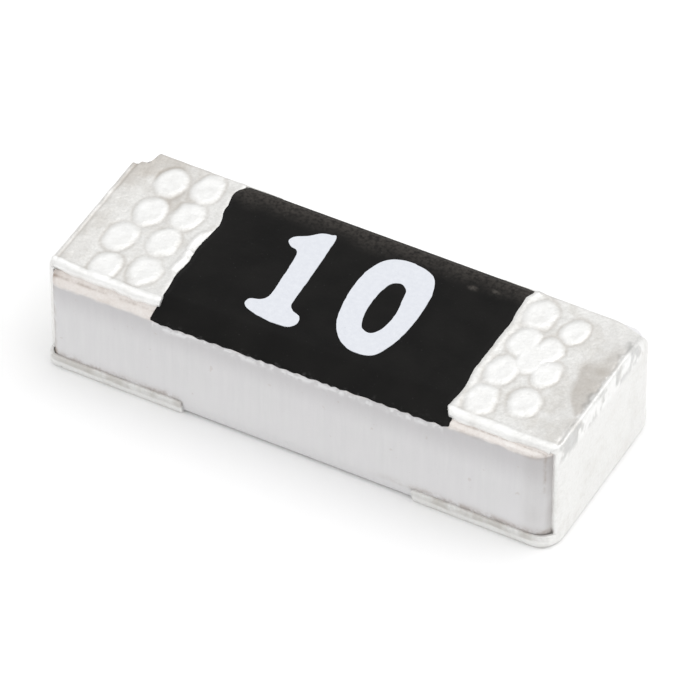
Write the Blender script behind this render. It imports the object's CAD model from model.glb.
"""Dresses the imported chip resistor: ceramic, black coat, printed value and plated ends.

Lengths here are in millimetres until a mesh is made. +X runs to the worn end, -Y is the
front long side and +Z is up.
"""

import math
import bmesh
import bpy
import numpy as np
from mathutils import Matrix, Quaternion, Vector


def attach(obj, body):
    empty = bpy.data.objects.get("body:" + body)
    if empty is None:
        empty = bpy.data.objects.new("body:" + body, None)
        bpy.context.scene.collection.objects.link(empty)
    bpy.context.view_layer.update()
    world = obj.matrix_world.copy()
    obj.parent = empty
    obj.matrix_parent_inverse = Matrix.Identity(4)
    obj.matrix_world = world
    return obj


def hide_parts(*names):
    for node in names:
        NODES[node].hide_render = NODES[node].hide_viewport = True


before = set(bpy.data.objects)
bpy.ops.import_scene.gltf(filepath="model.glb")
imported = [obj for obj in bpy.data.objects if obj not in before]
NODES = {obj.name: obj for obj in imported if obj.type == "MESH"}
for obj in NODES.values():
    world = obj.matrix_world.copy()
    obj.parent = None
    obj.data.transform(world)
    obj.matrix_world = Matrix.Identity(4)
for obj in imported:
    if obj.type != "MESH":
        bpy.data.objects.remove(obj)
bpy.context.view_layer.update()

from types import SimpleNamespace

MM = 0.001

# The sizes of the CAD model, which the detailed surfaces keep to
HALF_LENGTH, HALF_WIDTH = 3.137 / 2, 1.24 / 2
FOOT_Z, TOP_Z = 0.0275, 0.0275 + 0.68
BEVEL_SLOPE = 0.8
FRONT_RUN, BACK_RUN = 0.075, 0.115
FOOT_RUN, FOOT_DROP = 0.015, 0.05
LEFT_CORNER, RIGHT_CORNER = 0.06, 0.14
CORNERS = {-1: LEFT_CORNER, 1: RIGHT_CORNER}
FRONT_EDGE, BACK_EDGE = HALF_WIDTH - FRONT_RUN, HALF_WIDTH - BACK_RUN
HEEL = 0.015
OVERHANG = 0.004
TIN_OUT, END_OUT, SIDE_OUT = 0.0275, 0.0315, 0.022
LAP, LAP_RISE, LAP_SLOPE = 0.085, 0.0115, 0.06
COAT_TOP = TOP_Z + 0.038
COAT_ON_BEVEL = 0.012
COAT_BACK = 0.498
COAT_LEFT, COAT_RIGHT = 0.917, 0.891
SOLDER_REACH = 0.7355
FOOT_WRAP = 0.0545

# The scribed bevel on the front is a little deeper towards the left end
BEVEL_DROP, BEVEL_TILT = 0.046, 0.020

# Worn top of the back right corner: a slope that starts where x + y passes this
WORN_LINE, WORN_SLOPE = 1.90, 0.38

# The corner broken off at the back left: its depth below the top, and its reach along and across there
BREAK_DEPTH, BREAK_ALONG, BREAK_ACROSS = 0.24, 0.105, 0.24

# The coat's wavy ends, as places across the chip and how far the edge strays there
LEFT_EDGE = (
    (-0.62, -0.004), (-0.54, -0.022), (-0.46, -0.020), (-0.32, -0.004), (-0.19, -0.014),
    (-0.07, -0.001), (0.06, -0.012), (0.14, -0.015), (0.29, 0.021), (0.40, 0.041), (0.51, 0.016),
)
RIGHT_EDGE = (
    (-0.59, 0.049), (-0.53, 0.011), (-0.37, 0.017), (-0.19, -0.004), (0.04, -0.001),
    (0.20, 0.003), (0.34, -0.012), (0.43, -0.016), (0.498, 0.008),
)

# How far a round mark reaches along and across, and the marks, as places along and across, and size
MARK_REACH = (0.087, 0.121)
LEFT_MARKS = (
    (-1.088, -0.383, 1.0), (-1.303, -0.455, 1.0), (-1.115, -0.124, 1.0), (-1.348, -0.196, 1.0),
    (-1.100, 0.125, 1.0), (-1.297, 0.065, 1.0), (-1.110, 0.370, 1.0), (-1.316, 0.320, 1.0),
)
RIGHT_MARKS = (
    (1.025, -0.403, 1.0), (1.245, -0.315, 1.0), (1.020, -0.148, 1.0), (1.250, -0.060, 0.88),
    (1.030, 0.110, 1.0), (1.180, 0.118, 0.88), (1.125, 0.020, 1.0), (1.005, 0.348, 1.0),
    (1.240, 0.305, 0.88),
)


# Noise


def lattice(ix, iy, iz, seed):
    """A number from -1 to 1 for each cell of a grid, always the same for the same cell and seed."""
    n = (ix * 73856093) ^ (iy * 19349663) ^ (iz * 83492791) ^ (seed * 2654435761)
    n = n & 0xFFFFFFFF
    n = ((n ^ (n >> 15)) * 2246822519) & 0xFFFFFFFF
    n = ((n ^ (n >> 13)) * 3266489917) & 0xFFFFFFFF
    return ((n ^ (n >> 16)) & 0xFFFF) / 32767.5 - 1.0


def smooth_noise(p, seed):
    """Noise from -1 to 1, smooth over one unit."""
    cell = np.floor(p).astype(np.int64)
    f = p - cell
    f = f * f * f * (f * (f * 6 - 15) + 10)
    total = 0.0
    for dx in (0, 1):
        for dy in (0, 1):
            for dz in (0, 1):
                weight = 1.0
                for axis, d in enumerate((dx, dy, dz)):
                    weight = weight * (f[:, axis] if d else 1 - f[:, axis])
                total = total + weight * lattice(cell[:, 0] + dx, cell[:, 1] + dy, cell[:, 2] + dz, seed)
    return total


def fractal(p, size, octaves, seed):
    """Noise in octaves, whose largest features have the given size in millimetres."""
    p = np.asarray(p) / size
    total, weight, whole = 0.0, 1.0, 0.0
    for octave in range(octaves):
        total = total + weight * smooth_noise(p + 17.3 * octave, seed + octave)
        whole += weight
        p, weight = p * 2.03, weight * 0.5
    return total / whole


def wander(along, size, octaves, seed):
    """The same noise along a line, by the distance along it."""
    return fractal(np.stack([along, along * 0, along * 0], -1), size, octaves, seed)


def ramp(value, start, end):
    """0 up to the start and 1 from the end on, with a smooth rise between them."""
    t = np.clip((value - start) / (end - start), 0, 1)
    return t * t * (3 - 2 * t)


def bell(value, middle, width):
    """1 at the middle and less on either side."""
    return np.exp(-(((value - middle) / width) ** 2))


# The solid that the films and platings follow

# What outside() takes after the points, for the bare block and for the plated ends
BARE = (0.0, 0.0, 0.0, 0.010, 0.020)
PLATED = (TIN_OUT, END_OUT, LAP_RISE, 0.014, 0.034)


def soft_max(a, b, k):
    """The greater of the two, rounded where they differ by less than k."""
    h = np.maximum(k - np.abs(a - b), 0) / k
    return np.maximum(a, b) + h * h * k * 0.25


def bevel_drop(x, y):
    """How far the top bevel comes down on that side of the chip."""
    return np.where(y > 0, BACK_RUN * BEVEL_SLOPE, np.clip(BEVEL_DROP - BEVEL_TILT * x, 0.02, 0.10))


FOOT_NORMAL = np.array([FOOT_DROP, -FOOT_RUN]) / math.hypot(FOOT_RUN, FOOT_DROP)
FOOT_OFFSET = FOOT_NORMAL @ np.array([HALF_WIDTH, FOOT_Z + FOOT_DROP])


def outside(p, grow, end_grow, lap, edge, end_edge):
    """Distance outside the chip, grown by a film, with edges as soft as edge and end_edge."""
    x, y, z = p.T
    ax, ay = np.abs(x), np.abs(y)
    roof = TOP_Z + grow + lap * ramp(ax, HALF_LENGTH - LAP - grow - LAP_SLOPE, HALF_LENGTH - LAP / 2)
    side = min(grow, SIDE_OUT)
    f = soft_max(z - roof, FOOT_Z - max(grow, HEEL) - z, edge)
    run, drop = np.where(y > 0, BACK_RUN, FRONT_RUN), bevel_drop(x, y)
    bevel = (drop * (ay - HALF_WIDTH + run) + run * (z - TOP_Z)) / np.hypot(run, drop)
    f = soft_max(f, bevel - grow, edge)
    worn = ((x + y - WORN_LINE) * WORN_SLOPE + z - TOP_Z) / math.sqrt(1 + 2 * WORN_SLOPE**2)
    f = soft_max(f, worn - grow - lap, 2 * edge)
    f = soft_max(f, FOOT_NORMAL[0] * ay + FOOT_NORMAL[1] * z - FOOT_OFFSET - side, edge)
    corner = np.where(x > 0, RIGHT_CORNER, LEFT_CORNER) + side
    qx, qy = ax - HALF_LENGTH - end_grow + corner, ay - HALF_WIDTH - side + corner
    past = np.hypot(np.maximum(qx, 0), np.maximum(qy, 0))
    plan = np.minimum(np.maximum(qx, qy), 0) + past - corner
    facing_end = np.clip(np.maximum(qx, 0) / (past + 1e-9), 0, 1)
    return soft_max(f, plan, edge + (end_edge - edge) * facing_end)


def slope(p, *shape):
    """How fast the distance outside grows along each axis."""
    step = 1e-4
    found = np.empty_like(p)
    for axis in range(3):
        offset = np.zeros(3)
        offset[axis] = step
        found[:, axis] = (outside(p + offset, *shape) - outside(p - offset, *shape)) / (2 * step)
    return found


def settle(p, *shape):
    """The points moved onto the surface, and its normals there."""
    for _ in range(5):
        normal = slope(p, *shape)
        p = p - normal * (outside(p, *shape) / np.maximum((normal**2).sum(1), 0.2))[:, None]
    normal = slope(p, *shape)
    return p, normal / np.linalg.norm(normal, axis=1)[:, None]


# Meshes

RIM_STEPS = 5


def add_piece(mesh, material):
    """A piece on the body root, in that material and slot."""
    mesh.materials.append(material)
    made = bpy.data.objects.new(mesh.name, mesh)
    bpy.context.scene.collection.objects.link(made)
    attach(made, "root")
    return made


def add_mesh(name, points, faces, material, masks, sharp=None):
    """A smooth piece from points in millimetres, with its masks, sharp where it turns by so many degrees."""
    mesh = bpy.data.meshes.new(name)
    mesh.from_pydata((points * MM).tolist(), [], faces)
    mesh.shade_smooth()
    if sharp:
        mesh.set_sharp_from_angle(angle=math.radians(sharp))
    for mask, values in masks.items():
        layer = mesh.attributes.new(mask, "FLOAT", "POINT")
        layer.data.foreach_set("value", values.astype(np.float32))
    return add_piece(mesh, material)


def grid_faces(rows, columns, closed=False, flip=False):
    """The faces between the points of a grid, which may close on itself along its rows."""
    index = np.arange(rows * columns).reshape(rows, columns)
    if closed:
        index = np.hstack([index, index[:, :1]])
    corners = [index[:-1, :-1], index[:-1, 1:], index[1:, 1:], index[1:, :-1]]
    return np.stack(corners[::-1] if flip else corners, -1).reshape(-1, 4).tolist()


def with_rolled_rim(grid, normals, radius, rows=True):
    """A grid with its first and last lines rolled over by that radius and run down by as much again.

    The radius is one number, or a pair of them for the two lines, each of which may vary along its line.
    """
    if not rows:
        grid, normals = with_rolled_rim(grid.transpose(1, 0, 2), normals.transpose(1, 0, 2), radius)
        return grid.transpose(1, 0, 2), normals.transpose(1, 0, 2)
    first, last = radius if isinstance(radius, tuple) else (radius, radius)
    rims = []
    for line, inner, up, size in (
        (grid[0], grid[2], normals[0], first),
        (grid[-1], grid[-3], normals[-1], last),
    ):
        out = line - inner
        out = out - (out * up).sum(1)[:, None] * up
        out = out / np.maximum(np.linalg.norm(out, axis=1), 1e-9)[:, None]
        size = np.broadcast_to(np.asarray(size), (len(line),))[:, None]
        for step in range(1, RIM_STEPS + 1):
            angle = math.pi * step / RIM_STEPS
            turn = min(angle, math.pi / 2)
            rims.append((
                line + size * (out * math.sin(turn) + up * (math.cos(angle) - 1)),
                up * math.cos(turn) + out * math.sin(turn),
            ))
    points, ups = (np.array(side) for side in zip(*rims))
    before, after = slice(RIM_STEPS - 1, None, -1), slice(RIM_STEPS, None)
    return (
        np.concatenate([points[before], grid, points[after]]),
        np.concatenate([ups[before], normals, ups[after]]),
    )


def over_rims(values, shape):
    """A mask with its outermost values carried out over the rolled edges."""
    return np.pad(values.reshape(shape), RIM_STEPS, mode="edge").ravel()


def resample(points, count):
    """That many points, evenly spaced along a broken line."""
    points = np.asarray(points, float)
    reach = np.concatenate([[0], np.cumsum(np.linalg.norm(np.diff(points, axis=0), axis=1))])
    at = np.linspace(0, reach[-1], count)
    return np.stack([np.interp(at, reach, points[:, axis]) for axis in range(3)], 1)


def print_edge(end, y):
    """How far the coat reaches at each place across the chip, as a smooth wavy edge."""
    middle, grain, knots = (COAT_RIGHT, 0.0015, RIGHT_EDGE) if end > 0 else (COAT_LEFT, 0.003, LEFT_EDGE)
    ys, strays = np.array(knots).T
    y = np.asarray(y, float)
    at = np.clip(np.searchsorted(ys, y) - 1, 0, len(ys) - 2)
    t = np.clip((y - ys[at]) / (ys[at + 1] - ys[at]), 0, 1)
    t = t * t * (3 - 2 * t)
    stray = strays[at] * (1 - t) + strays[at + 1] * t
    fine = fractal(np.stack([y, y * 0 + end, y * 0], -1).reshape(-1, 3), 0.05, 2, 5).reshape(y.shape)
    return middle + stray + grain * fine


# Shader building


class Paint:
    """A material on one Principled shader, with short calls for the nodes that feed it."""

    def __init__(self, name, roughness=0.5, metallic=0.0, **inputs):
        self.material = bpy.data.materials.new(name)
        self.material.use_nodes = True
        self.tree = self.material.node_tree
        self.shader = self.tree.nodes["Principled BSDF"]
        self.set("Roughness", roughness)
        self.set("Metallic", metallic)
        for key, value in inputs.items():
            self.set(key.replace("_", " "), value)
        place = self.node("ShaderNodeTexCoord").outputs["Object"]
        self.place = self.vector("SCALE", place, scale=1000.0)

    def node(self, kind, **settings):
        made = self.tree.nodes.new(kind)
        for key, value in settings.items():
            setattr(made, key, value)
        return made

    def plug(self, socket, value):
        """Links a socket to another, or sets it to a value."""
        if isinstance(value, bpy.types.NodeSocket):
            self.tree.links.new(value, socket)
        elif value is not None:
            socket.default_value = value

    def set(self, name, value):
        self.plug(self.shader.inputs[name], value)

    def vector(self, operation, a, b=None, scale=None):
        made = self.node("ShaderNodeVectorMath", operation=operation)
        self.plug(made.inputs[0], a)
        self.plug(made.inputs[1], b)
        if scale:
            self.plug(made.inputs["Scale"], scale)
        return made.outputs["Vector"]

    def times(self, a, b):
        made = self.node("ShaderNodeMath", operation="MULTIPLY")
        self.plug(made.inputs[0], a)
        self.plug(made.inputs[1], b)
        return made.outputs[0]

    def mask(self, name):
        return self.node("ShaderNodeAttribute", attribute_name=name).outputs["Fac"]

    def height(self):
        made = self.node("ShaderNodeSeparateXYZ")
        self.plug(made.inputs[0], self.place)
        return made.outputs["Z"]

    def between(self, value, low, high, to_low=0.0, to_high=1.0):
        """A smooth change from one number to another as the value goes from low to high."""
        made = self.node("ShaderNodeMapRange", interpolation_type="SMOOTHSTEP")
        for socket, number in zip(made.inputs, (value, low, high, to_low, to_high)):
            self.plug(socket, number)
        return made.outputs[0]

    def noise(self, size, detail=4.0, rough=0.55, stretch=None, distortion=0.0):
        """Noise from about 0 to 1 whose features have the given size in millimetres."""
        made = self.node("ShaderNodeTexNoise")
        place = self.vector("MULTIPLY", self.place, stretch) if stretch else self.place
        self.plug(made.inputs["Vector"], place)
        self.plug(made.inputs["Scale"], 1.0 / size)
        self.plug(made.inputs["Detail"], detail)
        self.plug(made.inputs["Roughness"], rough)
        self.plug(made.inputs["Distortion"], distortion)
        return made.outputs["Fac"]

    def mix(self, factor, a, b):
        """The colour a, turning to b as the factor goes from 0 to 1."""
        made = self.node("ShaderNodeMix", data_type="RGBA")
        self.plug(made.inputs[0], factor)
        for socket, value in ((made.inputs[6], a), (made.inputs[7], b)):
            self.plug(socket, (*value, 1.0) if isinstance(value, tuple) else value)
        return made.outputs[2]

    def bump(self, height, reach, strength=1.0, after=None):
        """Relief whose full height is reach, in millimetres."""
        made = self.node("ShaderNodeBump")
        self.plug(made.inputs["Height"], height)
        self.plug(made.inputs["Strength"], strength)
        self.plug(made.inputs["Distance"], reach * MM)
        self.plug(made.inputs["Normal"], after)
        return made.outputs["Normal"]


def tin_paint(name):
    """Matte tin plating: satin grey-white, warmer where it is thin, whitest on the marks and the beads."""
    paint = Paint(name, metallic=0.55)
    grain = paint.noise(0.018, 5.0, 0.65)
    cloud = paint.noise(0.16, 4.0, 0.6, distortion=0.4)
    flecks = paint.noise(0.045, 3.0, 0.6)
    patches = paint.between(paint.noise(0.05, 3.0, 0.6), 0.30, 0.62, 0.72, 1.0)
    white = paint.times(paint.mask("bright"), patches)
    mottle = paint.times(paint.between(cloud, 0.45, 0.68), 0.30)
    warm = paint.times(mottle, paint.between(flecks, 0.25, 0.62, 0.55, 1.0))
    stain = paint.times(paint.mask("stain"), paint.between(cloud, 0.30, 0.60, 0.88, 1.0))
    base = paint.mix(paint.between(grain, 0.3, 0.7), (0.75, 0.745, 0.725), (0.85, 0.845, 0.83))
    base = paint.mix(warm, base, (0.52, 0.485, 0.43))
    base = paint.mix(stain, base, (0.43, 0.385, 0.335))
    base = paint.mix(paint.mask("grey"), base, (0.50, 0.51, 0.52))
    base = paint.mix(paint.mask("dark"), base, (0.20, 0.20, 0.195))
    base = paint.mix(white, base, (0.94, 0.94, 0.93))
    paint.set("Base Color", base)
    paint.set("Roughness", paint.between(paint.noise(0.06, 4.0), 0.3, 0.7, 0.36, 0.52))
    relief = paint.bump(grain, 0.0035, 0.8)
    paint.set("Normal", paint.bump(paint.noise(0.07, 3.0, 0.5), 0.006, 0.7, relief))
    return paint.material


def ceramic_paint(name):
    """Fired alumina: cool grey-white, with faint break lines, a warm scribed bevel and some soiling."""
    paint = Paint(name, roughness=0.62)
    z = paint.height()
    streaks = paint.noise(0.03, 4.0, 0.6, stretch=(1.0, 1.0, 0.09))
    wide = paint.noise(0.16, 3.0, 0.55, stretch=(1.0, 1.0, 0.25))
    grain = paint.noise(0.02, 4.0, 0.7)
    base = paint.mix(paint.between(streaks, 0.25, 0.75), (0.68, 0.675, 0.682), (0.715, 0.71, 0.714))
    base = paint.mix(paint.between(wide, 0.35, 0.7, 0.0, 0.4), base, (0.71, 0.695, 0.71))
    shade = paint.between(z, 0.40, 0.645, 0.0, 0.50)
    base = paint.mix(shade, base, (0.44, 0.425, 0.435))
    beige = paint.mix(paint.between(grain, 0.3, 0.7), (0.76, 0.71, 0.675), (0.82, 0.78, 0.75))
    smears = paint.noise(0.07, 4.0, 0.65, stretch=(0.45, 1.0, 1.0))
    beige = paint.mix(paint.between(smears, 0.50, 0.72, 0.0, 0.45), beige, (0.58, 0.50, 0.44))
    beige = paint.mix(paint.between(smears, 0.46, 0.30, 0.0, 0.6), beige, (0.88, 0.86, 0.84))
    low = paint.between(z, 0.12, 0.42, 0.40, 0.0)
    base = paint.mix(low, base, (0.79, 0.785, 0.79))
    base = paint.mix(paint.mask("bevel"), base, beige)
    base = paint.mix(paint.mask("dull"), base, (0.36, 0.33, 0.31))
    patches = paint.between(paint.noise(0.10, 5.0, 0.7), 0.34, 0.60)
    base = paint.mix(paint.times(paint.mask("soil"), patches), base, (0.30, 0.23, 0.18))
    base = paint.mix(paint.mask("chipped"), base, (0.86, 0.86, 0.87))
    specks = paint.between(paint.noise(0.05, 2.0, 0.5), 0.71, 0.77, 0.0, 0.25)
    base = paint.mix(specks, base, (0.45, 0.37, 0.32))
    paint.set("Base Color", base)
    paint.set("Roughness", paint.between(grain, 0.3, 0.7, 0.52, 0.72))
    relief = paint.bump(streaks, 0.0018, 0.6)
    paint.set("Normal", paint.bump(grain, 0.003, 0.6, relief))
    return paint.material


def coat_paint(name):
    """Black overcoat: fine even grain with a soft sheen, and a little pale dust."""
    paint = Paint(name, roughness=0.42, Specular_IOR_Level=0.06)
    grain = paint.noise(0.02, 4.0, 0.6)
    cloud = paint.noise(0.25, 3.0, 0.5)
    base = paint.mix(paint.between(cloud, 0.3, 0.7), (0.0070, 0.0068, 0.0066), (0.0105, 0.0101, 0.0096))
    haze = paint.times(paint.mask("haze"), paint.between(grain, 0.30, 0.65, 0.2, 1.0))
    base = paint.mix(haze, base, (0.060, 0.054, 0.049))
    dust = paint.times(paint.between(paint.noise(0.012, 2.0, 0.5), 0.70, 0.78), 0.25)
    base = paint.mix(dust, base, (0.12, 0.12, 0.12))
    worn = paint.times(paint.mask("worn"), paint.between(paint.noise(0.03, 3.0, 0.6), 0.48, 0.62))
    base = paint.mix(worn, base, (0.38, 0.37, 0.38))
    paint.set("Base Color", base)
    paint.set("Roughness", paint.between(cloud, 0.3, 0.7, 0.36, 0.50))
    relief = paint.bump(grain, 0.002, 0.6)
    paint.set("Normal", paint.bump(paint.noise(0.12, 2.0, 0.5), 0.004, 0.6, relief))
    return paint.material


def ink_paint(name):
    """White marking ink, a little blue, with fine pinholes."""
    paint = Paint(name, roughness=0.55)
    grain = paint.noise(0.03, 4.0, 0.6)
    base = paint.mix(paint.between(grain, 0.3, 0.75), (0.675, 0.695, 0.745), (0.72, 0.74, 0.785))
    holes = paint.between(paint.noise(0.018, 2.0, 0.5), 0.25, 0.18, 0.0, 0.4)
    base = paint.mix(holes, base, (0.20, 0.21, 0.24))
    paint.set("Base Color", base)
    paint.set("Normal", paint.bump(grain, 0.003, 0.7))
    return paint.material


def film_paint(name, dark, light, roughness, metallic, size):
    """An inner printed or plated film, with the grain of its fired paste or plating."""
    paint = Paint(name, metallic=metallic)
    grain = paint.noise(size, 5.0, 0.65)
    paint.set("Base Color", paint.mix(paint.between(grain, 0.3, 0.7), dark, light))
    paint.set("Roughness", paint.between(grain, 0.3, 0.7, roughness, roughness + 0.15))
    paint.set("Normal", paint.bump(grain, 0.002, 0.7))
    return paint.material


TIN = tin_paint("tin_plating")
CERAMIC = ceramic_paint("alumina")
COAT = coat_paint("black_overcoat")
INK = ink_paint("marking_ink")
SILVER = film_paint("fired_silver", (0.50, 0.48, 0.44), (0.68, 0.66, 0.62), 0.45, 0.7, 0.015)
NICKEL = film_paint("nickel_plating", (0.42, 0.40, 0.36), (0.56, 0.54, 0.49), 0.35, 0.9, 0.012)
FILM = film_paint("resistive_film", (0.035, 0.035, 0.04), (0.07, 0.07, 0.075), 0.5, 0.0, 0.02)
GLASS = film_paint("glass_film", (0.20, 0.30, 0.25), (0.30, 0.42, 0.36), 0.12, 0.0, 0.05)


# Ceramic block: rings of points round the chip, from end to end


def half_ring(edge, drop):
    """Half the outline of the block's section, denser at its corners."""
    turns = [(0, TOP_Z), (edge - 0.03, TOP_Z), (edge, TOP_Z), (HALF_WIDTH, TOP_Z - drop)]
    turns += [(HALF_WIDTH, FOOT_Z + FOOT_DROP), (HALF_WIDTH - FOOT_RUN, FOOT_Z - HEEL), (0, FOOT_Z - HEEL)]
    counts = (8, 6, 18, 44, 12, 14)
    return np.concatenate([
        np.linspace(a, b, count, endpoint=b is turns[-1]) for a, b, count in zip(turns, turns[1:], counts)
    ])


def ceramic_rings():
    """The rings of points, closer near the ends and drawn in at the block's rounded corners."""
    quarter = math.pi / 2
    stations = np.concatenate([
        -HALF_LENGTH + 0.10 * (1 - np.cos(np.linspace(0.02, quarter, 18))),
        np.linspace(-HALF_LENGTH + 0.105, HALF_LENGTH - 0.245, 330),
        HALF_LENGTH - 0.24 * (1 - np.sin(np.linspace(0, quarter - 0.02, 34))),
    ])
    back = half_ring(BACK_EDGE, BACK_RUN * BEVEL_SLOPE)
    front = half_ring(FRONT_EDGE, BEVEL_DROP)[::-1][1:-1] * (-1, 1)
    ring = np.vstack([back, front])
    rings = []
    for x in stations:
        corner = CORNERS[1 if x > 0 else -1]
        from_end = HALF_LENGTH - abs(x)
        inset = corner - math.sqrt(max(corner**2 - max(corner - from_end, 0) ** 2, 0))
        y = np.clip(ring[:, 0], -HALF_WIDTH + inset, HALF_WIDTH - inset)
        rings.append(np.stack([np.full(len(ring), x), y, ring[:, 1]], 1))
    return np.array(rings)


def ceramic_forms(rest):
    """The level of the scribe, and how much of the bevel and of the crumbling hem is at each point."""
    x, y, z = rest.T
    scribed = TOP_Z - bevel_drop(x, y)
    ragged = 0.012 * wander(x, 0.07, 3, 69)
    bevel = ramp(np.abs(y), FRONT_EDGE - 0.08, FRONT_EDGE - 0.06)
    bevel = bevel * ramp(z + ragged, scribed - 0.024, scribed - 0.006)
    hem = bell(z - scribed, -0.034, 0.026) * (y < 0) * (np.abs(x) < 0.91)
    crumbs = ramp(fractal(rest, 0.026, 2, 67), -0.10, 0.25)
    return SimpleNamespace(scribed=scribed, bevel=bevel, hem=hem, crumbs=crumbs)


def ceramic_relief(rest, normal, forms):
    """Break marks down the sides, chips along the scribed edge, and the rough lower break."""
    _, y, z = rest.T
    on_side = ramp(np.abs(normal[:, 1]), 0.85, 0.98)
    relief = on_side * 0.0009 * fractal(rest * (1, 1, 0.06), 0.035, 3, 11)
    scribe = bell(z, forms.scribed, 0.012) * (np.abs(y) > 0.55)
    relief -= 0.012 * scribe * np.maximum(fractal(rest, 0.05, 3, 23) + 0.1, 0)
    relief += forms.bevel * 0.0022 * fractal(rest, 0.03, 3, 31)
    heel = bell(z, FOOT_Z + FOOT_DROP, 0.014) * (np.abs(y) > 0.55)
    relief -= 0.008 * heel * np.maximum(fractal(rest, 0.06, 3, 41) + 0.1, 0)
    relief += 0.006 * forms.hem * forms.crumbs
    return relief


def break_corner(flat, z):
    """Moves the points in the broken back left corner onto the two faces of the break."""
    tip = np.array([-HALF_LENGTH - END_OUT, HALF_WIDTH + 0.018])
    depth = np.clip((z - (TOP_Z - BREAK_DEPTH)) / BREAK_DEPTH, 0, 1.2)
    inner = tip + np.stack([BREAK_ALONG * depth, -BREAK_ACROSS * depth], 1)
    cut = (flat[:, 0] < inner[:, 0]) & (flat[:, 1] > inner[:, 1]) & (depth > 0)
    to_x, to_y = inner[:, 0] - flat[:, 0], flat[:, 1] - inner[:, 1]
    flat[:, 0] = np.where(cut & (to_x < to_y), inner[:, 0], flat[:, 0])
    flat[:, 1] = np.where(cut & (to_x >= to_y), inner[:, 1], flat[:, 1])


def ceramic_masks(rest, flat, forms):
    """Where the warm bevel, the soiling, the dull places and the pale chips are. rest has no relief yet."""
    x, y, z = rest.T
    front = (y < -0.3) * 1.0
    # Soiling along the top of both wraps, under the coat beside the right end, and under the lips of tin
    line = FOOT_Z + FOOT_WRAP + 0.016 + 0.010 * wander(flat[:, 0], 0.12, 3, 51)
    along = 0.6 * ramp(-x, 0.72, 0.80) + ramp(x, 0.40, 0.95) * 0.6
    low = bell(z, line, np.where(z > line, 0.026, 0.014)) * along
    under = 0.35 * bell(z - forms.scribed, -0.016, 0.014) * ramp(x, 0.85, 0.95)
    soil = np.clip(low + under * (0.5 + 0.5 * fractal(flat, 0.1, 3, 61)), 0, 1) * (np.abs(y) > 0.3)
    under_lip = bell(np.abs(y), 0.585, 0.006) * (np.abs(x) > 0.89) * (z > 0.4)
    soil = np.clip(soil + front * (0.45 * ramp(-x, 1.515, 1.56) + 0.5 * under_lip), 0, 1)
    # Dull places beside the right end
    by_end = 0.22 * ramp(x, 1.36, 1.47) + 0.35 * ramp(x, 1.515, 1.55)
    dull = np.clip(by_end * (0.75 + 0.4 * fractal(flat, 0.12, 3, 65)) * (1 - forms.bevel), 0, 1) * front
    # Pale chips under the coat, and the worn corner
    chipped = (0.25 + 0.75 * forms.crumbs) * forms.hem * 0.7
    chipped = chipped + 0.7 * ramp(x, 1.30, 1.40) * (y > 0.4) * (z > TOP_Z - 0.12)
    return {"bevel": forms.bevel * front, "soil": soil, "dull": dull, "chipped": chipped}


def ceramic():
    grid = ceramic_rings()
    rows, columns = grid.shape[:2]
    rest, normal = settle(grid.reshape(-1, 3), *BARE)
    forms = ceramic_forms(rest)
    flat = rest + normal * ceramic_relief(rest, normal, forms)[:, None]
    break_corner(flat, rest[:, 2])
    faces = grid_faces(rows, columns, closed=True)
    faces.append(list(range(columns)))
    faces.append([(rows - 1) * columns + c for c in reversed(range(columns))])
    masks = ceramic_masks(rest, flat, forms)
    made = add_mesh("ceramic_body", flat, faces, CERAMIC, masks, sharp=35)
    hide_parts("ceramic_substrate")


# Plated ends: one sheet each, from the coat along the top, down the end and under the chip

FAR, SILL = HALF_LENGTH + END_OUT, FOOT_Z + FOOT_WRAP
ROOF, FLOOR = TOP_Z + TIN_OUT, FOOT_Z - TIN_OUT
TOP_FRONT, TOP_BACK = FRONT_EDGE + OVERHANG, BACK_EDGE + OVERHANG
EDGE_RADIUS = 0.045
COLUMNS = 191

# Behind the coat's back edge the plating reaches in to here
TONGUE_REACH = 0.7055

# The plating's edge at the broken corner starts this far below the top, and runs this far across up to it
PEEL_DEPTH, PEEL_ACROSS = 0.22, 0.235

# Half the width of the flat middle of the solder face
SOLE_HALF = 0.42

# How high each form of the plating stands, or how deep it lies
PLATING_HEIGHTS = {
    "marks": 0.0062, "ring": -0.0012, "dish": -0.0012, "front": 0.012, "back": 0.005, "by_coat": 0.016,
    "ridge": 0.0055, "seam": -0.0035, "hollow": -0.003,
}


def round_end(reach, corner):
    """Points on the plated end's outline from above, by their distance along it from the end's middle."""
    radius = corner + SIDE_OUT
    straight = HALF_WIDTH + SIDE_OUT - radius
    turn = np.clip((np.abs(reach) - straight) / radius, 0, math.pi / 2)
    along = np.maximum(np.abs(reach) - straight - radius * math.pi / 2, 0)
    x = FAR - radius + radius * np.cos(turn) - along
    y = np.minimum(np.abs(reach), straight) + radius * np.sin(turn)
    return x, np.sign(reach) * y


def reach_at(y, corner):
    """The distance along that outline at which it passes a place across the chip."""
    radius = corner + SIDE_OUT
    straight = HALF_WIDTH + SIDE_OUT - radius
    return y if y < straight else straight + radius * math.asin(min((y - straight) / radius, 1))


def level_row(end, inset, z):
    """A line across the end at one level, between its front and back edges."""
    back = TOP_BACK
    if end < 0 and z > TOP_Z - PEEL_DEPTH:
        back = min(back, HALF_WIDTH - PEEL_ACROSS * (z - TOP_Z + PEEL_DEPTH) / PEEL_DEPTH)
    y = np.linspace(-TOP_FRONT, back, COLUMNS)
    reach = np.array([np.sign(v) * reach_at(abs(v), CORNERS[end]) for v in y])
    return np.stack([round_end(reach, CORNERS[end])[0] - inset, y, np.full(COLUMNS, z)], 1)


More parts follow.
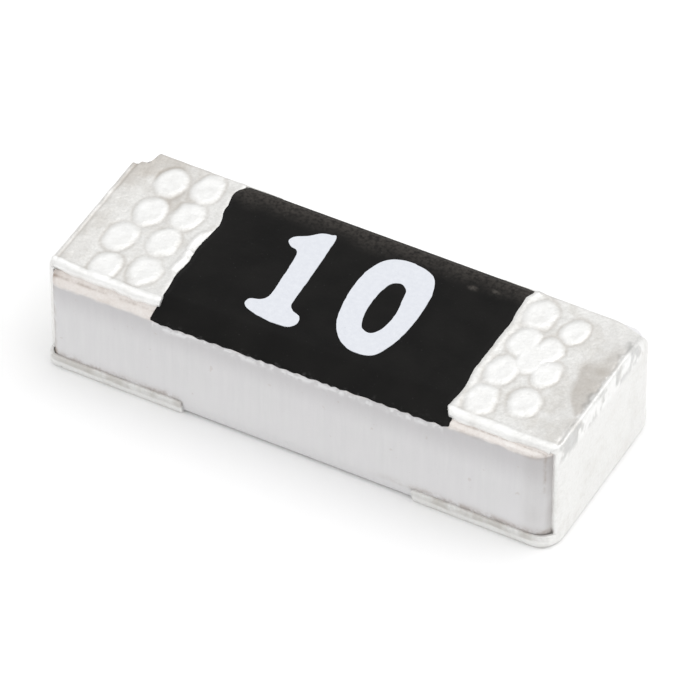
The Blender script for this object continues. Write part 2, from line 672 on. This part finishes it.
def coat_rim(end, y):
    """How much fatter than its least the bead beside the coat is."""
    sway = wander(y, 0.10, 2, 87)
    if end > 0:
        return 0.002 * (1 + sway)
    fat = ramp(y, -0.34, -0.30) * (1 - ramp(y, 0.03, 0.09))
    fat = fat + 0.4 * ramp(y, -0.56, -0.50) * (1 - ramp(y, -0.42, -0.37))
    return 0.026 * fat * (1 + 0.25 * sway - 0.35 * bell(y, -0.13, 0.012))


def beside_coat(end, y):
    """How far out the plating starts, just clear of the coat."""
    return print_edge(end, y) + 0.003 + coat_rim(end, y)


def top_rows(end):
    """Lines across the top, from the coat to the rounded edge of the end."""
    y = np.linspace(-TOP_FRONT, TOP_BACK, COLUMNS)
    behind = ramp(y, COAT_BACK + 0.001, COAT_BACK + 0.010)
    start = beside_coat(end, y) * (1 - behind) + TONGUE_REACH * behind
    stop = level_row(end, EDGE_RADIUS, ROOF)[:, 0]
    rows = []
    for u in np.linspace(0, 1, 96)[:-1]:
        x, across = start * (1 - u) + stop * u, y
        if end < 0:
            over = ramp(x, 1.488, 1.500)
            limit = TOP_BACK * (1 - over) + (0.405 - 0.35 * (x - 1.5)) * over
            across = np.where(y > 0, y * limit / TOP_BACK, y)
        rows.append(np.stack([x, across, np.full(COLUMNS, ROOF)], 1))
    return rows


def end_rows(end):
    """Lines over the rounded edge and down the end, to the level of the wrap."""
    rows = []
    for s in np.linspace(0, 1, 18)[:-1]:
        angle = s * math.pi / 2
        drop = EDGE_RADIUS * (1 - math.cos(angle))
        rows.append(level_row(end, EDGE_RADIUS * (1 - math.sin(angle)), ROOF - drop))
    return rows + [level_row(end, 0, z) for z in np.linspace(ROOF - EDGE_RADIUS, SILL, 52)]


def corner_rows(end):
    """Lines round the corners, where the sheet widens below the level of the wrap."""
    corner = CORNERS[end]
    full = reach_at(HALF_WIDTH + SIDE_OUT, corner)
    rows = []
    for s in np.linspace(0, 1, 22)[1:]:
        down = SILL - (SILL - FLOOR) * s
        halves = []
        for edge in (TOP_FRONT, TOP_BACK):
            start = reach_at(edge, corner)
            wide, bend = start + (full - start) * s, start + (full - start) * s * s
            halves.append([(wide, SILL), (bend, down), (min(SOLE_HALF, start - 0.06), down)])
        path = [(-reach, z) for reach, z in halves[0]] + [(0, down)] + halves[1][::-1]
        path = resample(np.column_stack([path, np.zeros(len(path))]), COLUMNS)
        x, y = round_end(path[:, 0], corner)
        rows.append(np.stack([x - 0.02 * s * (path[:, 1] < FLOOR + 0.02), y, path[:, 1]], 1))
    return rows


def sole_rows(end):
    """Lines across the solder face, with the wrap on either side."""
    low_y, side_x = HALF_WIDTH - FOOT_RUN, FAR - CORNERS[end] - SIDE_OUT
    rows = []
    for s in np.linspace(0, 1, 60)[1:]:
        middle = (FAR - 0.02) * (1 - s) + SOLDER_REACH * s
        side = side_x * (1 - s) + SOLDER_REACH * s
        between = middle * 0.7 + side * 0.3
        half = [(side, HALF_WIDTH + SIDE_OUT, SILL), (side, low_y, FLOOR), (between, SOLE_HALF, FLOOR)]
        path = [(x, -y, z) for x, y, z in half] + [(middle, 0, FLOOR)] + half[::-1]
        rows.append(resample(path, COLUMNS))
    return rows


def round_marks(end, rest, on_top):
    """The round marks: their low caps, the ring round each, and each one's slightly hollow middle."""
    x, y, _ = rest.T
    marks, ring, dish = np.zeros((3, len(rest)))
    for number, (along, across, size) in enumerate(RIGHT_MARKS if end > 0 else LEFT_MARKS):
        dx, dy = (x - along) / (MARK_REACH[0] * size), (y - across) / (MARK_REACH[1] * size)
        reach = np.hypot(dx, dy) * (1 + 0.17 * fractal(rest + number, 0.09, 2, 71 + number))
        marks = np.maximum(marks, 1 - ramp(reach, 0.70, 1.12))
        dish = np.maximum(dish, 1 - ramp(reach, 0.10, 0.75))
        ring = np.maximum(ring, bell(reach, 1.14, 0.12))
    return marks * on_top, ring * on_top * (1 - marks), dish * on_top


def plating_forms(end, rest, normal):
    """How strong each form of the plating is at each point of the smooth sheet."""
    x, y, _ = rest.T
    ax = np.abs(x)
    on_top = ramp(normal[:, 2], 0.6, 0.9)
    marks, ring, dish = round_marks(end, rest, on_top)
    # Beads along the front and back edges, and along the coat
    front_size = 0.5 + 0.5 * wander(x, 0.12, 3, 81 + end)
    front = bell(y + TOP_FRONT, 0.008, 0.022) * on_top * (0.35 + 0.65 * front_size)
    back = bell(TOP_BACK - y, 0.008, 0.014) * on_top * 0.5
    coat_size = 0.5 + 0.5 * fractal(rest * (0, 1, 0), 0.12, 3, 91 + end)
    strong = np.exp(-(((y + 0.14) / 0.17) ** 4)) if end < 0 else 0.25
    by_coat = bell(ax - beside_coat(end, y), 0.016, 0.020) * on_top * (0.25 + 0.9 * strong)
    by_coat = by_coat * (0.5 + 0.5 * coat_size)
    # The ragged ridge at the end edge, the seam beside it and the hollow just inside
    ragged = np.clip(0.5 + 0.8 * fractal(rest * (0.4, 1, 0), 0.09, 3, 101 + end), 0, 1)
    ridge = bell(ax, FAR - 0.016, 0.018) * on_top * ragged
    seam = bell(ax - (FAR - 0.037), 0.006 * (ragged - 0.5), 0.008) * on_top
    hollow = bell(ax, FAR - 0.105, 0.040) * on_top
    return SimpleNamespace(
        on_top=on_top, marks=marks, ring=ring, dish=dish, front=front, back=back, by_coat=by_coat,
        ridge=ridge, seam=seam, hollow=hollow,
        jagged=0.026 * fractal(rest * (0.5, 1, 0), 0.050, 3, 115),
        lumps=fractal(rest * (1, 1, 0.55), 0.065, 3, 113),
    )


def below_edge(y, z, top):
    """The band along the top of the right end's face, full from that level up."""
    return ramp(z, 0.600, top) * ramp(y, -0.60, -0.50) * (1 - ramp(y, 0.40, 0.50))


def plating_relief(end, rest, forms):
    """The height of the plating's relief at each point, which never sinks near the solder face."""
    _, y, z = rest.T
    relief = sum(height * getattr(forms, form) for form, height in PLATING_HEIGHTS.items())
    peel, swell = fractal(rest, 0.030, 3, 111), fractal(rest, 0.16, 2, 121)
    relief = relief + (0.0010 * peel + 0.0022 * swell) * (0.3 + 0.7 * forms.on_top)
    if end > 0:
        band = (1 - forms.on_top) * below_edge(y, z, 0.665)
        relief = relief + 0.007 * band * np.clip(forms.lumps, -0.35, 0.35) - 0.002 * band
    return np.maximum(relief, np.where(z < 0.05, 0.0, -1.0)) * np.where(z < 0.01, 0.0, 1.0)


def right_stains(rest, flat, forms):
    """The right end's brown patch inside its edge, the rough band below it, and the dark seam."""
    x, y, z = rest.T
    ax = np.abs(x)
    near = np.interp(y, (-0.33, -0.30, -0.173, 0.123), (1.570, 1.546, 1.4525, 1.383))
    near = near + 0.018 * fractal(flat, 0.09, 2, 135)
    inside = ramp(ax, near - 0.022, near + 0.026)
    stain = 0.50 * inside * (1 - ramp(y + 0.2 * (1.45 - ax), 0.08, 0.20)) * ramp(y, -0.37, -0.24)
    point = ramp(ax, 1.40 + 0.3 * (y - 0.1), 1.53) * (1 - ramp(y, 0.24, 0.38)) * ramp(y, 0.0, 0.1)
    stain = np.maximum(stain, 0.34 * point) + 0.06 * ramp(ax, 1.28, 1.42)
    stain = stain * (1 - ramp(ax + forms.jagged, 1.558, 1.574))
    rough = (1 - forms.on_top) * below_edge(y, z, 0.650)
    spots = ramp(fractal(flat * (0, 1, 0), 0.13, 2, 137), -0.15, 0.35)
    spots = spots * ramp(y, -0.50, -0.35) * (1 - ramp(y, 0.36, 0.42))
    dark = 0.50 * bell(ax - 1.561 + forms.jagged, 0, 0.009 + 0.012 * spots) * (0.35 + 0.65 * spots)
    return stain, rough, dark


def left_stains(rest, forms, blotch):
    """The left end's stains, on a face with no rough band or dark seam."""
    x, y, _ = rest.T
    ax = np.abs(x)
    stain = 0.45 * ramp(y, -0.05, 0.35) * ramp(ax, 1.12, 1.40) * blotch + 0.15 * ramp(ax, 1.38, 1.5)
    stain = stain + 0.25 * bell(ax, 1.20, 0.12) * ramp(y, -0.2, 0.2) + 0.3 * forms.seam
    return stain, 0 * x, 0 * x


def plating_masks(end, rest, flat, normal, forms):
    """How bright, stained, grey and dark the plating is at each point. rest has no relief yet."""
    z = rest[:, 2]
    bright = 0.9 * forms.marks + 0.9 * ramp(forms.front, 0.25, 0.6) + 0.9 * ramp(forms.by_coat, 0.3, 0.6)
    bright = np.clip(np.clip(bright, 0, 1) + 0.5 * forms.ridge + 0.45 * (1 - forms.on_top), 0, 1)
    blotch = ramp(fractal(flat, 0.20, 3, 131), -0.45, 0.25)
    stain, rough, dark = right_stains(rest, flat, forms) if end > 0 else left_stains(rest, forms, blotch)
    stain = (stain + 0.35 * forms.ring * (0.4 + 0.6 * blotch)) * forms.on_top * (1 - bright)
    stain = np.clip(stain, 0, 1)
    grey = 0.40 * rough * ramp(-forms.lumps, -0.15, 0.25)
    bright = np.clip(bright * (1 - rough) + rough * ramp(forms.lumps, -0.05, 0.15), 0, 1)
    # The wrap up the lower edge is soiled along its top, down to a ragged line
    line = 0.050 + 0.010 * wander(flat[:, 0], 0.10, 3, 171)
    flank = ramp(np.abs(normal[:, 1]), 0.6, 0.9) * (z < SILL + 0.02) * ramp(z, line - 0.005, line + 0.012)
    smear = ramp(fractal(flat, 0.09, 3, 181), -0.35, 0.20) * ramp(z, line - 0.004, line + 0.016)
    bright = bright * (1 - flank)
    grey = np.clip(grey + flank * 0.15, 0, 1)
    stain = np.clip(stain + flank * smear * 0.5, 0, 1)
    return {"bright": bright, "stain": stain, "grey": grey, "dark": dark}


def with_rolled_edges(end, grid, normals):
    """The sheet with its edges rolled: fat along the front of the top, thin down the end and on the wrap."""

    def rim(line, on_top_size):
        """The rolled edge's size at each place down one edge of the sheet."""
        top = ramp(line[:, 2], ROOF - 0.05, ROOF - 0.01)
        down_size = 0.0105 + 0.0050 * ramp(line[:, 2], SILL + 0.01, SILL + 0.05)
        return down_size * (1 - top) + on_top_size * top

    front = grid[:, 0]
    bead = 0.036 + 0.016 * wander(front[:, 0], 0.10, 3, 141 + end)
    if end > 0:
        bead = bead + 0.012 * bell(front[:, 0], 0.95, 0.06)
    sides = rim(front, np.clip(bead, 0.020, 0.048)), rim(grid[:, -1], 0.0125)
    grid, normals = with_rolled_rim(grid, normals, sides, rows=False)
    return with_rolled_rim(grid, normals, (0.011 + 0.8 * coat_rim(end, grid[0, :, 1]), 0.0098))


def plating(end):
    words = "right" if end > 0 else "left"
    grid = np.array(top_rows(end) + end_rows(end) + corner_rows(end) + sole_rows(end))
    grid[:, :, 0] *= end
    rest, normal = settle(grid.reshape(-1, 3), *PLATED)
    forms = plating_forms(end, rest, normal)
    flat = rest + normal * plating_relief(end, rest, forms)[:, None]
    masks = plating_masks(end, rest, flat, normal, forms)
    masks = {mask: over_rims(values, grid.shape[:2]) for mask, values in masks.items()}
    sheet, _ = with_rolled_edges(end, flat.reshape(grid.shape), normal.reshape(grid.shape))
    sheet[:, :, 2] = np.maximum(sheet[:, :, 2], 0.0)
    faces = grid_faces(*sheet.shape[:2], flip=end > 0)
    made = add_mesh(f"plated_end_{words}", sheet.reshape(-1, 3), faces, TIN, masks)
    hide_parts(f"tin_termination_{words}")


# Black coat: lines of points from the back edge over the top and down the front bevel

COAT_LINES, COAT_COLUMNS = 190, 301
SHOULDER_REACH = 0.035

# Two pale specks near the back edge
COAT_SPECKS = ((0.586, 0.354), (0.714, 0.387))


def coat_hem(us, drops):
    """The level of the hem's torn edge at each place along it."""
    along = us * 1.8
    teeth = np.abs((along / 0.082 + 0.7 * wander(along, 0.2, 2, 155)) % 1 - 0.5)
    hem = TOP_Z - drops + 0.004 * wander(along, 0.11, 3, 151)
    return hem - 0.009 + 0.020 * teeth + 0.004 * wander(along, 0.025, 2, 161)


def coat_section(low, drop):
    """Points from the coat's back edge over the top and down the bevel of that drop, to the level low."""
    up = np.array([FRONT_RUN, drop]) / math.hypot(FRONT_RUN, drop)
    out = np.array([-up[1], up[0]])
    start = np.array([-HALF_WIDTH, TOP_Z - drop]) + out * COAT_ON_BEVEL
    shoulder = start + up * ((COAT_TOP - start[1]) / up[1])
    foot = start + up * ((-HALF_WIDTH - COAT_ON_BEVEL - start[0]) / up[0])
    a, c = shoulder + (SHOULDER_REACH, 0), shoulder - up * SHOULDER_REACH
    arc = [(1 - t) ** 2 * a + 2 * t * (1 - t) * shoulder + t**2 * c for t in np.linspace(0, 1, 9)]
    tail = [foot, (foot[0], low)] if low < foot[1] else [start + up * ((low - start[1]) / up[1])]
    path = np.array([(COAT_BACK, COAT_TOP), *arc, *tail])
    return resample(np.column_stack([path, np.zeros(len(path))]), COAT_LINES)[:, :2]


def coat_grid():
    """The coat's outer face before its relief, and its normals from the section's own slope."""
    us = np.linspace(0, 1, COAT_COLUMNS)
    drops = bevel_drop(-COAT_LEFT + (COAT_LEFT + COAT_RIGHT) * us, -np.ones(COAT_COLUMNS))
    grid = np.empty((COAT_LINES, COAT_COLUMNS, 3))
    for column, (u, low, drop) in enumerate(zip(us, coat_hem(us, drops), drops)):
        path = coat_section(low, drop)
        left, right = -print_edge(-1, path[:, 0]), print_edge(1, path[:, 0])
        cut = 0.03 * ramp(path[:, 0], COAT_BACK - 0.05, COAT_BACK)
        grid[:, column] = np.column_stack([(left + cut) * (1 - u) + right * u, path])
    step = np.gradient(grid[:, :, 1:], axis=0)
    step = step / np.linalg.norm(step, axis=2)[:, :, None]
    normals = np.stack([np.zeros_like(step[:, :, 0]), step[:, :, 1], -step[:, :, 0]], -1)
    return grid, np.where(normals[:, :, 2:] < -0.2, -normals, normals)


def coat_masks(rest, flat):
    """Where the hem is worn pale and where the back edge has a haze. rest has no relief yet."""
    x, y, z = rest.T
    scribed = TOP_Z - bevel_drop(x, y)
    by_hem = 1 - ramp(z, scribed + 0.004, scribed + 0.022)
    worn = 0.08 * by_hem * ramp(fractal(flat, 0.035, 3, 181), 0.0, 0.35)
    from_back = COAT_BACK - y + 0.03 * fractal(flat, 0.12, 3, 185)
    haze = np.clip((1 - ramp(from_back, 0.0, 0.19)) * 0.85 + 0.5 * (1 - ramp(from_back, 0.0, 0.02)), 0, 1)
    for spot_x, spot_y in COAT_SPECKS:
        haze = np.maximum(haze, 1.6 * np.exp(-(((x - spot_x) / 0.026) ** 2) - ((y - spot_y) / 0.016) ** 2))
    return {"worn": worn, "haze": haze}


def overcoat():
    grid, normals = coat_grid()
    rest = grid.reshape(-1, 3)
    x, y, _ = rest.T
    edge = np.minimum(x + print_edge(-1, y), print_edge(1, y) - x)
    edge = np.minimum(edge, COAT_BACK - y)
    sag = 0.0070 * (1 - ramp(edge, 0.0, 0.030))
    relief = 0.0007 * fractal(rest, 0.05, 3, 171) + 0.0015 * fractal(rest, 0.3, 2, 175) - sag
    flat = rest + normals.reshape(-1, 3) * relief[:, None]
    masks = {mask: over_rims(values, grid.shape[:2]) for mask, values in coat_masks(rest, flat).items()}
    sheet, normals = with_rolled_rim(flat.reshape(grid.shape), normals, (0.006, 0.004))
    sheet, _ = with_rolled_rim(sheet, normals, 0.0085, rows=False)
    made = add_mesh(
        "black_overcoat", sheet.reshape(-1, 3), grid_faces(*sheet.shape[:2]), COAT, masks
    )
    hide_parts("protective_overcoat")


# Printed value: two plain digits in raised ink, a little askew on the coat and in front of its middle

PRINT_LEAN, PRINT_STRETCH, PRINT_SHIFT = -0.052, 1.034, -0.006
INK_SEAT, INK_HEIGHT = 0.0005, 0.0035

ONE = (
    (-0.485, 0.205), (-0.470, 0.246), (-0.400, 0.290), (-0.345, 0.338), (-0.290, 0.352), (-0.255, 0.348),
    (-0.247, 0.20), (-0.246, -0.05), (-0.245, -0.22), (-0.215, -0.270), (-0.165, -0.295), (-0.150, -0.345),
    (-0.185, -0.392), (-0.260, -0.402), (-0.350, -0.394), (-0.446, -0.370), (-0.484, -0.338),
    (-0.474, -0.294), (-0.415, -0.270), (-0.385, -0.215), (-0.386, -0.05), (-0.393, 0.10),
    (-0.410, 0.158), (-0.455, 0.172),
)
NOUGHT_OUTSIDE = (
    (0.115, -0.345), (0.045, -0.245), (0.010, -0.100), (0.000, 0.060), (0.018, 0.200), (0.072, 0.312),
    (0.165, 0.362), (0.280, 0.358), (0.375, 0.318), (0.420, 0.215), (0.434, 0.080), (0.428, -0.080),
    (0.398, -0.240), (0.335, -0.370), (0.215, -0.394),
)
NOUGHT_INSIDE = (
    (0.222, 0.190), (0.176, 0.155), (0.152, 0.050), (0.149, -0.060), (0.168, -0.175), (0.206, -0.224),
    (0.255, -0.222), (0.294, -0.160), (0.310, -0.040), (0.298, 0.060), (0.284, 0.145), (0.256, 0.182),
)


def closed_curve(points, steps=14):
    """A smooth closed curve through the points, with that many steps between two of them."""
    points = np.array(points, float)
    made = []
    for i in range(len(points)):
        a, b, c, d = (points[(i + k) % len(points)] for k in (-1, 0, 1, 2))
        for t in np.arange(steps) / steps:
            bend = 2 * a - 5 * b + 4 * c - d
            made.append(0.5 * (2 * b + (c - a) * t + bend * t**2 + (3 * b - a - 3 * c + d) * t**3))
    return np.array(made)


def digit(name, loops):
    """A flat digit of ink from its outer and inner outlines, in millimetres on the coat."""
    shape = bmesh.new()
    base = COAT_TOP - INK_SEAT
    for number, loop in enumerate(loops):
        curve = closed_curve(loop) @ np.array([[1, 0], [PRINT_LEAN, PRINT_STRETCH]]) + (0, PRINT_SHIFT)
        stray = fractal(np.column_stack([curve, curve[:, :1] * 0]), 0.03, 2, 191 + number)
        curve = curve + 0.0022 * stray[:, None]
        verts = [shape.verts.new((x, y, base + INK_HEIGHT)) for x, y in curve]
        for a, b in zip(verts, verts[1:] + verts[:1]):
            shape.edges.new((a, b))
    bmesh.ops.triangle_fill(shape, use_beauty=True, use_dissolve=False, edges=shape.edges[:])
    bmesh.ops.recalc_face_normals(shape, faces=shape.faces[:])
    if shape.faces[0].normal.z < 0:
        bmesh.ops.reverse_faces(shape, faces=shape.faces[:])
    rim = [edge for edge in shape.edges if len(edge.link_faces) == 1]
    for made in bmesh.ops.extrude_edge_only(shape, edges=rim)["geom"]:
        if isinstance(made, bmesh.types.BMVert):
            made.co.z = base
    bmesh.ops.recalc_face_normals(shape, faces=shape.faces[:])
    bmesh.ops.scale(shape, vec=(MM, MM, MM), verts=shape.verts[:])
    mesh = bpy.data.meshes.new(name)
    shape.to_mesh(mesh)
    shape.free()
    mesh.shade_smooth()
    mesh.set_sharp_from_angle(angle=math.radians(40))
    add_piece(mesh, INK)


# Floor, light and camera

FLOOR_SIDE, FLOOR_Z = 0.6, -0.0000015
SKY_LOW, SKY_HIGH, SKY_STRENGTH = 0.62, 0.95, 0.925

# The photograph's view, in degrees, millimetres and pixels of its 700 by 700
AZIMUTH, ELEVATION, ROLL = 28.27, 43.53, 0.11
DISTANCE, PIXELS_PER_MM = 37.7, 179.33
PHOTO_SIDE, AIM_COLUMN, AIM_ROW = 700, 349.4, 343.8
AIM_HEIGHT, SENSOR = 0.35, 36


def floor():
    bpy.ops.mesh.primitive_plane_add(size=FLOOR_SIDE, location=(0, 0, FLOOR_Z))
    made = bpy.context.object
    made.name = "floor"
    paint = Paint("floor_white", roughness=0.8)
    cloud = paint.noise(8.0, 2.0)
    paint.set("Base Color", paint.mix(cloud, (0.96, 0.96, 0.96), (0.98, 0.98, 0.98)))
    made.data.materials.append(paint.material)


def sky():
    """A soft white room, brighter towards the ceiling."""
    world = bpy.data.worlds.new("studio") if not bpy.data.worlds else bpy.data.worlds[0]
    bpy.context.scene.world = world
    world.use_nodes = True
    tree = world.node_tree
    back = tree.nodes["Background"]
    place = tree.nodes.new("ShaderNodeTexCoord")
    split = tree.nodes.new("ShaderNodeSeparateXYZ")
    tone = tree.nodes.new("ShaderNodeMapRange")
    tree.links.new(place.outputs["Generated"], split.inputs[0])
    tree.links.new(split.outputs["Z"], tone.inputs["Value"])
    for name, value in (("From Min", -0.1), ("From Max", 0.9), ("To Min", SKY_LOW), ("To Max", SKY_HIGH)):
        tone.inputs[name].default_value = value
    tree.links.new(tone.outputs[0], back.inputs["Color"])
    back.inputs["Strength"].default_value = SKY_STRENGTH


def add_object(name, data, turn):
    made = bpy.data.objects.new(name, data)
    made.rotation_mode = "QUATERNION"
    made.rotation_quaternion = turn
    bpy.context.scene.collection.objects.link(made)
    return made


def sun(name, toward, strength, spread):
    """A soft sun that stands in that direction."""
    lamp = bpy.data.lights.new(name, "SUN")
    lamp.energy = strength
    lamp.angle = math.radians(spread)
    add_object(name, lamp, Vector(toward).to_track_quat("Z", "Y"))


def view():
    """The camera at the photograph's angle, and the plain view transform."""
    azimuth, elevation = math.radians(AZIMUTH), math.radians(ELEVATION)
    level = math.cos(elevation)
    behind = Vector((math.sin(azimuth) * level, -math.cos(azimuth) * level, math.sin(elevation)))
    turn = behind.to_track_quat("Z", "Y")
    camera = bpy.data.cameras.new("camera")
    camera.sensor_width = SENSOR
    camera.lens = SENSOR * PIXELS_PER_MM * DISTANCE / PHOTO_SIDE
    camera.clip_start, camera.clip_end = 0.0005, 5.0
    made = add_object("camera", camera, turn @ Quaternion((0, 0, 1), math.radians(ROLL)))
    right, above = turn @ Vector((1, 0, 0)), turn @ Vector((0, 1, 0))
    aside, higher = (PHOTO_SIDE / 2 - AIM_COLUMN) / PIXELS_PER_MM, (AIM_ROW - PHOTO_SIDE / 2) / PIXELS_PER_MM
    aim = Vector((0, 0, AIM_HEIGHT)) + right * aside + above * higher
    made.location = (aim + behind * DISTANCE) * MM
    bpy.context.scene.camera = made
    bpy.context.scene.view_settings.view_transform = "Standard"


def dress_cad_nodes():
    """Gives every node of the frame the material of its kind, also where a piece here replaces it."""
    kinds = {
        "resistive_element": FILM,
        "primary_glass_coat": GLASS,
        "ceramic_substrate": CERAMIC,
        "protective_overcoat": COAT,
    }
    for side in ("left", "right"):
        for place in ("top", "bottom", "end"):
            kinds[f"{place}_inner_electrode_{side}"] = SILVER
        kinds[f"nickel_barrier_{side}"] = NICKEL
        kinds[f"tin_termination_{side}"] = TIN
    for node, material in kinds.items():
        NODES[node].data.materials.clear()
        NODES[node].data.materials.append(material)


ceramic()
overcoat()
plating(-1)
plating(1)
digit("value_digit_1", [ONE])
digit("value_digit_0", [NOUGHT_OUTSIDE, NOUGHT_INSIDE])
dress_cad_nodes()
floor()
sky()
sun("key", (0.45, 0.35, 0.9), 1.0, 60)
sun("fill", (-0.5, -0.5, 0.8), 0.35, 60)
view()
